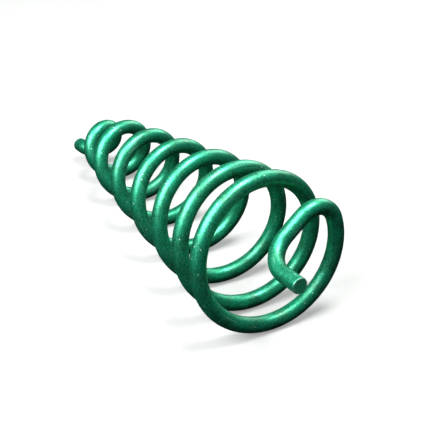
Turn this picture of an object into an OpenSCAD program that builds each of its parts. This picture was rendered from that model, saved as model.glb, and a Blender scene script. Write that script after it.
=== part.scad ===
// Conical coil spring, lying on its side: one wire, cut into pieces so that it can move.
// The wire starts at a tang near the axis, loops out to the widest coil, winds down the cone
// and ends in a short tang at the rim of the narrowest coil.

/* [Wire] */
// Diameter of the wire
wire_d = 12; // [10:0.5:13]
// Bevel on the two cut ends
bevel = 0.8; // [0.4:0.1:1.5]

/* [Coil] */
// Mean radius of the widest coil
coil_r = 55; // [52:1:60]
// How much the mean radius shrinks per millimetre of height
taper = 0.13; // [0.1:0.005:0.14]
// Rise per turn at the wide end
wide_pitch = 18.7; // [16:0.5:24]
// Rise per turn in the middle
mid_pitch = 45.6; // [36:0.5:50]
// Rise per turn at the narrow end
narrow_pitch = 27.6; // [24:0.5:32]
// Turns over which the pitch rises and falls again
pitch_turns = 7.1; // [7:0.05:7.5]
// Extra shrink of the last, narrowest turns
nip = 8.3; // [4:0.2:9]
// Angle at which the widest coil starts
start_angle = 73.8; // [0:0.2:360]

/* [Wide end] */
// Bend radius of the loop that turns in from the rim
loop_r = 17.4; // [15:0.2:20]
// How far that loop turns
loop_angle = 109.3; // [105:0.5:115]
// Straight leg from the loop towards the axis
leg_length = 17.6; // [12:0.2:20]
// Bend radius from the leg into the tang
tang_bend_r = 23.3; // [18:0.2:26]
// Straight tang at the wide end
wide_tang_length = 18.9; // [14:0.1:30]

/* [Narrow end] */
// Bend radius from the coil into the tang
rim_bend_r = 10; // [9:0.2:14]
// Straight tang at the narrow end
rim_tang_length = 7.5; // [5:0.1:20]

/* [Pieces] */
// Pieces of coil, each close to a quarter of a turn
pieces = 30; // [30:1:30]
// Gap between two pieces of coil, where one slides past the next
slip_gap = 0.3; // [0.2:0.05:0.4]
// Rings along one piece of coil
piece_rings = 10; // [8:1:12]
// Sides of the wire in a piece of coil
wire_sides = 16; // [12:2:20]

/* [Hidden] */
coil_turns = 7.33;
nip_turns = 1.43;
run_in = 0.03;
wire_r = wire_d / 2;
green = [0.13, 0.62, 0.44];
lean = atan(taper);
round_fn = 64;
first_turn = 4;

// The coil's law, in turns t counted from the wide end. The pitch runs in and out softly,
// so the wire is square to the axis where the coil meets a bend.
function soft(t) = sqrt(t * t + run_in * run_in) - run_in;
function wound(t) = t <= coil_turns / 2 ? soft(t) : 2 * soft(coil_turns / 2) - soft(coil_turns - t);
function rise(q) =
    wide_pitch * q
    + (narrow_pitch - wide_pitch) * q * q / 2
    + (mid_pitch - (wide_pitch + narrow_pitch) / 2) * (2 * q * q - 4 / 3 * pow(q, 3));
function height(t) = pitch_turns * rise(wound(t) / pitch_turns);
function ease(s) = s * s * (3 - 2 * s);
function nipped(t) = nip * ease(max(0, (t - coil_turns + nip_turns) / nip_turns));
function radius(t) = coil_r - taper * height(t) - nipped(t);
function angle(t) = start_angle + 360 * t;
function centre(t) = [radius(t) * cos(angle(t)), radius(t) * sin(angle(t)), height(t)];
// Slope of the wire at t, from two points close to it
function slope(t, e = 0.002) =
    let (a = max(0, t - e), b = min(coil_turns, t + e))
    atan((height(b) - height(a)) / (2 * PI * radius(t) * (b - a)));

// A ring of the wire, cut by the plane that holds the spring's axis
function ring(t) = [
    for (i = [0 : wire_sides - 1])
        let (s = 360 * i / wire_sides, out = radius(t) + wire_r * cos(s))
        [out * cos(angle(t)), out * sin(angle(t)), height(t) + wire_r * sin(s) / cos(slope(t))]
];

module wire_along(rings) {
    sides = wire_sides;
    last = len(rings) - 1;
    walls = [
        for (k = [0 : last - 1], i = [0 : sides - 1])
            let (j = (i + 1) % sides)
            [k * sides + i, k * sides + j, (k + 1) * sides + j, (k + 1) * sides + i]
    ];
    start_cap = [for (i = [sides - 1 : -1 : 0]) i];
    end_cap = [for (i = [0 : sides - 1]) last * sides + i];
    polyhedron(points = [for (r = rings) each r], faces = concat(walls, [start_cap, end_cap]), convexity = 4);
}

// Piece k of the coil. The two end pieces meet the bends face to face.
module coil_piece(k) {
    step = coil_turns / pieces;
    trim = slip_gap / 2 / (2 * PI * radius((k + 0.5) * step));
    from = k * step + trim;
    to = (k + 1) * step - (k == pieces - 1 ? 0 : trim);
    rings = [for (i = [0 : piece_rings - 1]) ring(from + (to - from) * i / (piece_rings - 1))];
    color(green) on_side() wire_along(rings);
}

// Lays the spring on its side: the widest coil at +X, the cone's side along the floor
function depth(t) = centre(t)[2] * sin(lean) - centre(t)[0] * cos(lean) + wire_r;
search_step = 0.01;
low_point = max([for (t = [0 : search_step : coil_turns]) depth(t)]);
shift_x = 123.7;
shift_y = -0.66;

module on_side() {
    translate([shift_x, shift_y, low_point])
        rotate([0, -90 - lean, 0])
            children();
}

// A bend of the wire: starts at the origin heading along +Y and turns towards +X
module bend(r, turn) {
    translate([r, 0, 0])
        rotate([0, 0, 180 - turn])
            rotate_extrude(angle = turn, $fn = 2 * round_fn)
                translate([r, 0]) circle(r = wire_r, $fn = round_fn);
}

// A straight tang along +Z, its free end bevelled
module tang(length) {
    cylinder(h = length - bevel, r = wire_r, $fn = round_fn);
    translate([0, 0, length - bevel])
        cylinder(h = bevel, r1 = wire_r, r2 = wire_r - bevel, $fn = round_fn);
}

// Stations of the wide end, each one starting where the piece before it stops
module at_wide_rim() {
    translate(centre(0)) rotate([0, 0, start_angle + 180]) children();
}

module wide_loop() {
    color(green) on_side() at_wide_rim() bend(loop_r, loop_angle);
}

module at_leg() {
    at_wide_rim()
        translate([loop_r * (1 - cos(loop_angle)), loop_r * sin(loop_angle), 0])
            rotate([0, 0, -loop_angle])
                children();
}

module wide_leg() {
    color(green) on_side() at_leg() rotate([-90, 0, 0]) cylinder(h = leg_length, r = wire_r, $fn = round_fn);
}

module at_wide_bend() {
    at_leg() translate([0, leg_length, 0]) rotate([0, 90, 0]) children();
}

module wide_bend() {
    color(green) on_side() at_wide_bend() bend(tang_bend_r, 90);
}

module wide_tang() {
    color(green) on_side() at_wide_bend()
        translate([tang_bend_r, tang_bend_r, 0]) rotate([0, 90, 0]) tang(wide_tang_length);
}

module at_narrow_rim() {
    translate(centre(coil_turns)) rotate([0, 0, angle(coil_turns)]) rotate([0, -90, 0]) children();
}

module rim_bend() {
    color(green) on_side() at_narrow_rim() bend(rim_bend_r, 90);
}

module rim_tang() {
    color(green) on_side() at_narrow_rim()
        translate([rim_bend_r, rim_bend_r, 0]) rotate([0, 90, 0]) tang(rim_tang_length);
}

wide_tang();
wide_bend();
wide_leg();
wide_loop();
for (k = [0 : pieces - 1])
    coil_piece(k);
rim_bend();
rim_tang();
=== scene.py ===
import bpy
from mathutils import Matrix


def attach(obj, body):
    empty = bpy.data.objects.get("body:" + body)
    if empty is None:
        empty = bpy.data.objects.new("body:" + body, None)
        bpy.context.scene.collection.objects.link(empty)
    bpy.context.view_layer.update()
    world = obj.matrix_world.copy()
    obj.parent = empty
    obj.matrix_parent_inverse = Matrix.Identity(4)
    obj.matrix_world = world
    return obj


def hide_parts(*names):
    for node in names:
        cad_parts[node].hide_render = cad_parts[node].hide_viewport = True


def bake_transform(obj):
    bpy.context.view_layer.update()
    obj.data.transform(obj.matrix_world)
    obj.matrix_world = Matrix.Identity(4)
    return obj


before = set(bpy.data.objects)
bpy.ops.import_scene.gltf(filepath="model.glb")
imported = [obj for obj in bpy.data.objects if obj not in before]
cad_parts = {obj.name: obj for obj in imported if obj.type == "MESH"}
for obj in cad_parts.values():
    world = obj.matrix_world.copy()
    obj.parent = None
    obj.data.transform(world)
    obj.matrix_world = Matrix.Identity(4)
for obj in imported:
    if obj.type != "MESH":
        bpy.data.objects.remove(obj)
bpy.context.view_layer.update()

import math

import bmesh
import bpy
from mathutils import Matrix, Vector

mm = 0.001
axisUp = Vector((0, 0, 1))

# The spring's own law, in millimetres, degrees and turns, as the CAD part winds it
spring = {
    "wireRadius": 6.0,
    "coilRadius": 55.0,          # mean radius of the widest coil
    "taper": 0.13,               # how much the radius shrinks per millimetre of height
    "widePitch": 18.7,
    "midPitch": 45.6,
    "narrowPitch": 27.6,
    "pitchTurns": 7.1,
    "coilTurns": 7.33,
    "nip": 8.3,                  # extra shrink of the last turns
    "nipTurns": 1.43,
    "runIn": 0.03,
    "startAngle": 73.8,
    "quarters": 30,
    "loopRadius": 17.4,
    "loopAngle": 109.3,
    "legLength": 17.6,
    "tangBendRadius": 23.3,
    "wideTang": 18.9,
    "rimBendRadius": 10.0,
    "rimTang": 7.5,
    "middle": (123.7, -0.66),   # where the widest coil's centre stands over the floor
}

# How finely the wire is drawn
drawn = {
    "sides": 48,
    "ringGap": 1.1,              # mm along the wire
    "bevel": 0.8,                # mm, the rounded rim of a cut end
    "bevelRings": 6,
    "dish": 0.25,                # mm, how hollow the shear left the cut face
    "faceRings": (0.85, 0.65, 0.45, 0.25, 0.1),
    "margin": 1.05,              # flank rings keep this many bevels off a cut end
    "trim": 1.02,                # the give starts this much past the tilt of an end disc
    "step": 0.0005,              # turns, for the wire's direction
}


def soft(t):
    return math.hypot(t, spring["runIn"]) - spring["runIn"]


def wound(t):
    turns = spring["coilTurns"]
    return soft(t) if t <= turns / 2 else 2 * soft(turns / 2) - soft(turns - t)


def height(t):
    q = wound(t) / spring["pitchTurns"]
    wide, mid, narrow = spring["widePitch"], spring["midPitch"], spring["narrowPitch"]
    ends = wide * q + (narrow - wide) * q * q / 2
    return spring["pitchTurns"] * (ends + (mid - (wide + narrow) / 2) * (2 * q * q - 4 / 3 * q ** 3))


def radius(t):
    s = max(0.0, (t - spring["coilTurns"] + spring["nipTurns"]) / spring["nipTurns"])
    return spring["coilRadius"] - spring["taper"] * height(t) - spring["nip"] * s * s * (3 - 2 * s)


def unit(degrees):
    return Vector((math.cos(math.radians(degrees)), math.sin(math.radians(degrees)), 0))


def coilPoint(t):
    return radius(t) * unit(spring["startAngle"] + 360 * t) + axisUp * height(t)


# A station is a point on the wire's centre line, the wire's direction, and its outer side
def coilStation(t):
    out = unit(spring["startAngle"] + 360 * t)
    step = min(drawn["step"], t, spring["coilTurns"] - t)
    if step <= 0:
        return coilPoint(t), axisUp.cross(out), out
    along = (coilPoint(t + step) - coilPoint(t - step)).normalized()
    return coilPoint(t), along, (out - out.dot(along) * along).normalized()


def ringCount(length):
    return max(4, round(length / drawn["ringGap"]))


def straight(start, along, side, length):
    count = ringCount(length)
    return [(start + along * length * i / count, along, side) for i in range(count + 1)]


# A bend heads along from start and turns towards another unit vector. With no side given,
# the outer side lies in the bend's own plane.
def bend(start, along, towards, side, bendRadius, degrees):
    count = ringCount(math.radians(degrees) * bendRadius)
    stations = []
    for i in range(count + 1):
        a = math.radians(degrees) * i / count
        point = start + bendRadius * (math.sin(a) * along + (1 - math.cos(a)) * towards)
        direction = math.cos(a) * along + math.sin(a) * towards
        outer = math.sin(a) * along - math.cos(a) * towards if side is None else side
        stations.append((point, direction, outer))
    return stations


def reverse(stations):
    return [(point, -along, side) for point, along, side in reversed(stations)]


# The wide end is laid from the coil outwards, then turned round, so the whole wire runs one way
rimOut = unit(spring["startAngle"])
loop = bend(coilPoint(0), -axisUp.cross(rimOut), -rimOut, None, spring["loopRadius"], spring["loopAngle"])
corner, legAlong, legSide = loop[-1]
leg = straight(corner, legAlong, legSide, spring["legLength"])
tangBend = bend(leg[-1][0], legAlong, -axisUp, legSide, spring["tangBendRadius"], 90)
wideTang = straight(tangBend[-1][0], -axisUp, legSide, spring["wideTang"])

# The narrow end
rimPoint, rimAlong, rimSide = coilStation(spring["coilTurns"])
rimBend = bend(rimPoint, rimAlong, axisUp, rimSide, spring["rimBendRadius"], 90)
rimTang = straight(rimBend[-1][0], axisUp, rimSide, spring["rimTang"])

# The spring lies on its side, the cone's flank on the floor and the wide end at +X
lean = math.atan(spring["taper"])
turned = Matrix.Rotation(-math.pi / 2 - lean, 3, "Y")
deepest = max(-(turned @ coilPoint(i / 100)).z for i in range(round(spring["coilTurns"] * 100)))
moved = Vector((*spring["middle"], deepest + spring["wireRadius"]))


def inRow(point):
    return (turned @ point + moved) * mm


def colour(hexValue):
    channels = [int(hexValue[i:i + 2], 16) / 255 for i in (1, 3, 5)]
    return tuple(c / 12.92 if c <= 0.04045 else ((c + 0.055) / 1.055) ** 2.4 for c in channels) + (1,)


def perMetre(millimetres):
    return 1000 / millimetres


# Adds one node. A setting's key is one of the node's own fields, or an input's name or number. An
# input takes a plain value, or another node's output as a link.
def addNode(tree, kind, settings):
    node = tree.nodes.new("ShaderNode" + kind)
    fields = [key for key in settings if isinstance(key, str) and hasattr(node, key)]
    for key in fields:
        setattr(node, key, settings[key])
    for key, value in settings.items():
        if isinstance(value, bpy.types.NodeSocket):
            tree.links.new(value, node.inputs[key])
        elif key not in fields:
            node.inputs[key].default_value = value
    return node


# Metallic powder coat: polyester powder with aluminium flake, sprayed on phosphated spring steel
# and baked. It gives a deep green that lights up mint towards the light and falls off to almost
# black, with an orange-peel skin, a fine fleck, and small pale raised nibs.
coat = {
    "green": "#0dbd8c",
    "deepGreen": "#04845a",    # where the coat is thicker
    "fleck": "#6fdcba",
    "shade": "#023a28",        # between the flakes
    "nib": "#c9efe3",
    "scuffed": "#8fd6bf",
    "paintedRimHighlight": "#8fcfb9",       # painted highlight on the rounded rim of a cut end
    "cutGreen": "#33b88c",     # the thinner coat on the cut faces
    "metallic": 0.8,
    "clearWeight": 0.85,       # the clear resin over the flake
    "clearRoughness": 0.34,
    "clearIor": 1.55,
    "patchSize": 11.0,         # mm across a thicker or thinner patch of coat
    "fleckSize": 0.9,          # mm, drawn coarser than real so that it shows
    "peelSize": 2.4,           # mm across one bump of the orange peel
    "nibSpacing": 4.2,         # mm
    "nibSize": 0.55,           # mm
    "nibCore": 0.6,            # the share of a nib inside its soft edge
    "scuffLength": 26.0,       # mm along the wire
    "scuffSize": 0.7,          # mm across it
    "scuffPatchSize": 19.0,    # mm across a place that has been rubbed
    "rimHighlightNoiseSize": 2.6,        # mm across a patch of the painted highlight on a cut end's rim
    "shearMark": 1.086,        # mm between the shear's lines on a cut face
    "shearWander": 2.5,        # how far those lines stray from straight
    # a mask: the pattern it is cut from, that pattern's values where the mask starts and where it
    # is full, and the mask's own least and most
    "masks": {
        "deepGreen": ("patch", 0.35, 0.68, 0, 1),
        "fleck": ("fleck", 0.52, 0.72, 0, 0.45),
        "shade": ("fleck", 0.48, 0.30, 0, 0.7),
        "nibCells": ("nibCell", 0.55, 0.58, 0, 1),
        "streaks": ("scuff", 0.58, 0.70, 0, 1),
        "rubbed": ("scuffPatch", 0.52, 0.68, 0, 0.7),
        "rim": ("cutZone", 0.25, 0.95, 0, 1),
        "flank": ("cutZone", 1.05, 1.6, 1, 0),           # all but the cut faces
        "cutGreen": ("cutZone", 1.05, 1.6, 0, 1),
        # how strongly the painted highlight shows along a cut end's rim
        "rimHighlightShare": ("rimHighlightNoise", 0.38, 0.52, 0.25, 1),
        "roughness": ("patch", 0.3, 0.7, 0.41, 0.51),    # dullest where the coat is thick
    },
    # how much rougher a scuffed place, a cut face, and a cut end's rim under its painted highlight are
    "dulled": {"scuffed": 0.257, "cutGreen": 0.2, "paintedRimHighlight": 0.15},
    # a layer of relief: how strongly it tilts the light, and its height in mm
    "relief": {"peel": (0.55, 0.06), "fleck": (0.5, 0.05), "nib": (0.8, 0.15), "shear": (0.6, 0.12)},
}


def makePowderCoat():
    paint = bpy.data.materials.new("greenPowderCoat")
    paint.use_nodes = True
    tree = paint.node_tree
    shader = tree.nodes["Principled BSDF"]
    shader.inputs["Metallic"].default_value = coat["metallic"]
    shader.inputs["Coat Weight"].default_value = coat["clearWeight"]
    shader.inputs["Coat Roughness"].default_value = coat["clearRoughness"]
    shader.inputs["Coat IOR"].default_value = coat["clearIor"]

    # distance along the wire and the place in its section, so a pattern keeps to the wire as it bends
    place = addNode(tree, "Attribute", {"attribute_name": "wirePlace"}).outputs["Vector"]
    # scuffs run along the wire, where springs have rubbed together in a crate
    stretch = (coat["scuffSize"] / coat["scuffLength"], 1, 1)
    longPlace = addNode(tree, "VectorMath", {"operation": "MULTIPLY", 0: place, 1: stretch}).outputs[0]

    patterns = {}
    for name, where, detail in (
        ("patch", place, 3),
        ("fleck", place, 1.5),
        ("peel", place, 1),
        ("scuff", longPlace, 2),
        ("scuffPatch", place, 1),
        # noise that breaks up the painted highlight on the cut ends' rims
        ("rimHighlightNoise", place, 2),
    ):
        settings = {"Scale": perMetre(coat[name + "Size"]), "Detail": detail, "Vector": where}
        patterns[name] = addNode(tree, "TexNoise", settings).outputs["Fac"]
    # the cut ends: 1 on the rounded rim, 2 on the face
    patterns["cutZone"] = addNode(tree, "Attribute", {"attribute_name": "cutZone"}).outputs["Fac"]
    # pale raised nibs: round dots, kept in some of the cells only
    cells = addNode(tree, "TexVoronoi", {"Scale": perMetre(coat["nibSpacing"]), "Vector": place})
    patterns["nibCell"] = addNode(tree, "SeparateColor", {0: cells.outputs["Color"]}).outputs[0]

    masks = {}
    for name, (pattern, start, full, least, most) in coat["masks"].items():
        settings = {0: patterns[pattern], 1: start, 2: full, 3: least, 4: most}
        masks[name] = addNode(tree, "MapRange", settings).outputs["Result"]
    reach = coat["nibSize"] / coat["nibSpacing"]
    dots = {0: cells.outputs["Distance"], 1: reach, 2: reach * coat["nibCore"]}
    masks["dots"] = addNode(tree, "MapRange", dots).outputs["Result"]

    # masks that hold only where two others do
    for name, first, second in (
        ("nib", "dots", "nibCells"),
        ("scuffed", "streaks", "rubbed"),
        ("rimOnly", "rim", "flank"),
        # the painted highlight, on the rounded rims of the cut ends only
        ("paintedRimHighlight", "rimOnly", "rimHighlightShare"),
    ):
        settings = {"operation": "MULTIPLY", 0: masks[first], 1: masks[second]}
        masks[name] = addNode(tree, "Math", settings).outputs[0]

    green = colour(coat["green"])
    # colours laid over the green in turn; the last is a painted highlight on the cut ends' rims
    for name in ("deepGreen", "fleck", "shade", "scuffed", "nib", "cutGreen", "paintedRimHighlight"):
        settings = {"data_type": "RGBA", 0: masks[name], 6: green, 7: colour(coat[name])}
        green = addNode(tree, "Mix", settings).outputs[2]
    tree.links.new(green, shader.inputs["Base Color"])

    rough = masks["roughness"]
    for name, extra in coat["dulled"].items():
        settings = {"operation": "MULTIPLY_ADD", 0: masks[name], 1: extra, 2: rough}
        rough = addNode(tree, "Math", settings).outputs[0]
    tree.links.new(rough, shader.inputs["Roughness"])

    # the wave's bands lie pi / 10 apart at a scale of 1
    settings = {"bands_direction": "Y", "Scale": perMetre(coat["shearMark"]) * math.pi / 10, "Vector": place}
    settings |= {"Distortion": coat["shearWander"], "Detail": 2}
    lines = addNode(tree, "TexWave", settings).outputs["Fac"]
    cut = addNode(tree, "Math", {"operation": "MULTIPLY", 0: lines, 1: masks["cutGreen"]}).outputs[0]

    # relief, each layer laid over the one before
    heights = {"peel": patterns["peel"], "fleck": patterns["fleck"], "nib": masks["nib"], "shear": cut}
    under = {}
    for name, (strength, depth) in coat["relief"].items():
        settings = {"Strength": strength, "Distance": depth * mm, "Height": heights[name]} | under
        under = {"Normal": addNode(tree, "Bump", settings).outputs[0]}
    tree.links.new(under["Normal"], shader.inputs["Normal"])
    tree.links.new(under["Normal"], shader.inputs["Coat Normal"])
    return paint


powderCoat = makePowderCoat()
print("powder coat ready")


# The profile of a cut end, from the flank in to the middle of the face:
# (shift along the wire, radius, tilt of the normal, zone)
def cutProfile():
    r, b = spring["wireRadius"], drawn["bevel"]
    profile = []
    for i in range(drawn["bevelRings"] + 1):
        a = math.pi / 2 * i / drawn["bevelRings"]
        zone = min(1.0, 2 * i / drawn["bevelRings"])
        profile.append((b * (math.sin(a) - 1), r - b * (1 - math.cos(a)), a, zone))
    for share in drawn["faceRings"]:
        profile.append((-drawn["dish"] * (1 - share * share), (r - b) * share, math.pi / 2, 2.0))
    return profile


# One closed length of wire. A plain end is a flat disc against its neighbour.
def makeWire(name, stations, startAt, cutAt=None):
    r, sides = spring["wireRadius"], drawn["sides"]
    rings, gone = [], startAt
    for k, (point, along, side) in enumerate(stations):
        gone += (point - stations[k - 1][0]).length if k else 0
        rings.append((point, along, side, r, 0.0, gone, 0.0))
    endAt = gone
    if cutAt is not None:
        way, at = (-1, 0) if cutAt == "start" else (1, -1)
        point, along, side = stations[at]
        base = rings[at][5]
        rings = [ring for ring in rings if abs(ring[5] - base) > drawn["bevel"] * drawn["margin"]]
        capRings = [
            (point + along * way * shift, along, side, size, way * tilt, base + way * shift, zone)
            for shift, size, tilt, zone in cutProfile()
        ]
        rings = capRings[::-1] + rings if way < 0 else rings + capRings

    vertices, normals, places, zones = [], [], [], []
    for point, along, side, size, tilt, distance, zone in rings:
        third = along.cross(side)
        for i in range(sides):
            theta = 2 * math.pi * i / sides
            out = math.cos(theta) * side + math.sin(theta) * third
            vertices.append(inRow(point + size * out))
            normals.append(turned @ (math.cos(tilt) * out + math.sin(tilt) * along))
            places += [distance * mm, size * math.cos(theta) * mm, size * math.sin(theta) * mm]
            zones.append(zone)
    last = len(rings) - 1
    faces = []
    for k in range(last):
        for i in range(sides):
            j = (i + 1) % sides
            faces.append((k * sides + i, k * sides + j, (k + 1) * sides + j, (k + 1) * sides + i))
    walls = len(faces)
    faces.append(tuple(range(sides - 1, -1, -1)))
    faces.append(tuple(last * sides + i for i in range(sides)))
    discs = (-(turned @ rings[0][1]), turned @ rings[-1][1])

    mesh = bpy.data.meshes.new(name)
    mesh.from_pydata(vertices, [], faces)
    mesh.attributes.new("wirePlace", "FLOAT_VECTOR", "POINT").data.foreach_set("vector", places)
    mesh.attributes.new("cutZone", "FLOAT", "POINT").data.foreach_set("value", zones)
    mesh.shade_smooth()
    corners = [normals[v] if n < walls else discs[n - walls] for n, face in enumerate(faces) for v in face]
    mesh.normals_split_custom_set(corners)
    piece = bpy.data.objects.new(name, mesh)
    bpy.context.collection.objects.link(piece)
    mesh.materials.append(powderCoat)
    return piece, endAt


# The wide end, all on one body
at = 0.0
for name, nodeName, stations, cutAt in (
    ("wideTang", "wide_tang", reverse(wideTang), "start"),
    ("wideBend", "wide_bend", reverse(tangBend), None),
    ("wideLeg", "wide_leg", reverse(leg), None),
    ("wideLoop", "wide_loop", reverse(loop), None),
):
    piece, at = makeWire(name, stations, at, cutAt)
    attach(piece, "wide_end")
    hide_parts(nodeName)
print("wide end ready")

# The coil, in quarters.
quarter = spring["coilTurns"] / spring["quarters"]
for k in range(spring["quarters"]):
    count = ringCount(2 * math.pi * radius((k + 0.5) * quarter) * quarter)
    stations = [coilStation((k + i / count) * quarter) for i in range(count + 1)]
    turnName = f"turn_{k // 4 + 1}_{'abcd'[k % 4]}"
    piece, at = makeWire(f"coil_{turnName}", stations, at)
    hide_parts(turnName)
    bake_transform(piece)
print("coil ready")

for name, nodeName, stations, cutAt in (
    ("rimBend", "rim_bend", rimBend, None),
    ("rimTang", "rim_tang", rimTang, "end"),
):
    piece, at = makeWire(name, stations, at, cutAt)
    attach(piece, "narrow_end")
    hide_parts(nodeName)
print("narrow end ready, wire length", round(at), "mm")

# Studio: a plain pale floor that sweeps up into a wall, a soft key in front, a small soft light
# overhead and a weak one behind
studio = {
    "floor": "#a6a7a6",
    "floorRoughness": 0.9,
    "floorShine": 0.1,
    "floorRadius": 3.0,
    "sweepRadius": 1.5,
    "wallHeight": 4.0,
    "floorSides": 96,
    "glowFrom": 0.5,
    "wallGlow": 2.0,
    "floorGlow": 0.88,           # the floor is lit from within, so it stays nearly white
    "cameraAzimuth": 58.08,
    "cameraElevation": 33.8,
    "cameraDistance": 0.82,
    "aim": (0.01045, 0.0226, 0.0243),
    "lens": 85.9,
    "surround": 0.01,            # the little light that comes from everywhere
    # name, azimuth, elevation, distance, size, watts
    "softboxes": (
        ("key", 5, 50, 1.2, 1.0, 26),
        ("top", 150, 78, 1.1, 0.45, 14),
        ("rear", 205, 28, 1.5, 1.0, 9),
    ),
}

# Matt emulsion rolled on: it has no shine, so only a soft shadow shows on it
floorPaint = bpy.data.materials.new("mattPaintedFloor")
floorPaint.use_nodes = True
floorTree = floorPaint.node_tree
floorShader = floorTree.nodes["Principled BSDF"]
floorShader.inputs["Base Color"].default_value = colour(studio["floor"])
floorShader.inputs["Roughness"].default_value = studio["floorRoughness"]
floorShader.inputs["Specular IOR Level"].default_value = studio["floorShine"]
floorShader.inputs["Emission Color"].default_value = colour(studio["floor"])
# the glow grows from the middle of the floor out to the wall
floorPlace = addNode(floorTree, "NewGeometry", {}).outputs["Position"]
away = addNode(floorTree, "VectorMath", {"operation": "LENGTH", 0: floorPlace}).outputs["Value"]
glowRange = {1: studio["glowFrom"], 2: studio["floorRadius"], 3: studio["floorGlow"], 4: studio["wallGlow"]}
glow = addNode(floorTree, "MapRange", {0: away} | glowRange).outputs["Result"]
floorTree.links.new(glow, floorShader.inputs["Emission Strength"])

# the floor sweeps up into a round wall, so every side has the same pale ground
floorMesh = bpy.data.meshes.new("floor")
flat, bow, sides = studio["floorRadius"], studio["sweepRadius"], studio["floorSides"]
profile = []
for degrees in range(0, 91, 10):
    a = math.radians(degrees)
    profile.append((flat + bow * math.sin(a), bow * (1 - math.cos(a))))
profile.append((flat + bow, studio["wallHeight"]))
sweep = bmesh.new()
loops = []
for out, up in profile:
    around = [unit(360 * i / sides) * out + axisUp * up for i in range(sides)]
    loops.append([sweep.verts.new(point) for point in around])
sweep.faces.new(loops[0])
for inner, outer in zip(loops, loops[1:]):
    for i in range(sides):
        sweep.faces.new((inner[i - 1], outer[i - 1], outer[i], inner[i]))
sweep.to_mesh(floorMesh)
sweep.free()
floorMesh.shade_smooth()
floor = bpy.data.objects.new("floor", floorMesh)
bpy.context.collection.objects.link(floor)
floorMesh.materials.append(floorPaint)
# the floor lights nothing and isn't mirrored in the coat, so only the softboxes shape the wire
floor.visible_diffuse = False
floor.visible_glossy = False


# A direction seen from the object: azimuth 0 is in front, at -Y, and 90 at +X
def direction(azimuth, elevation):
    a, e = math.radians(azimuth), math.radians(elevation)
    return Vector((math.sin(a) * math.cos(e), -math.cos(a) * math.cos(e), math.sin(e)))


aim = Vector(studio["aim"])
for name, azimuth, elevation, distance, size, watts in studio["softboxes"]:
    lamp = bpy.data.lights.new(name, "AREA")
    lamp.shape, lamp.size, lamp.energy = "DISK", size, watts
    box = bpy.data.objects.new(name, lamp)
    box.location = aim + direction(azimuth, elevation) * distance
    box.rotation_euler = direction(azimuth, elevation).to_track_quat("Z", "Y").to_euler()
    bpy.context.collection.objects.link(box)

world = bpy.data.worlds.new("studio")
world.use_nodes = True
world.node_tree.nodes["Background"].inputs["Color"].default_value = (1, 1, 1, 1)
world.node_tree.nodes["Background"].inputs["Strength"].default_value = studio["surround"]
bpy.context.scene.world = world
bpy.context.scene.view_settings.view_transform = "Standard"

cameraData = bpy.data.cameras.new("camera")
cameraData.lens = studio["lens"]
camera = bpy.data.objects.new("camera", cameraData)
back = direction(studio["cameraAzimuth"], studio["cameraElevation"])
camera.location = aim + back * studio["cameraDistance"]
camera.rotation_euler = back.to_track_quat("Z", "Y").to_euler()
bpy.context.collection.objects.link(camera)
bpy.context.scene.camera = camera
print("studio ready")
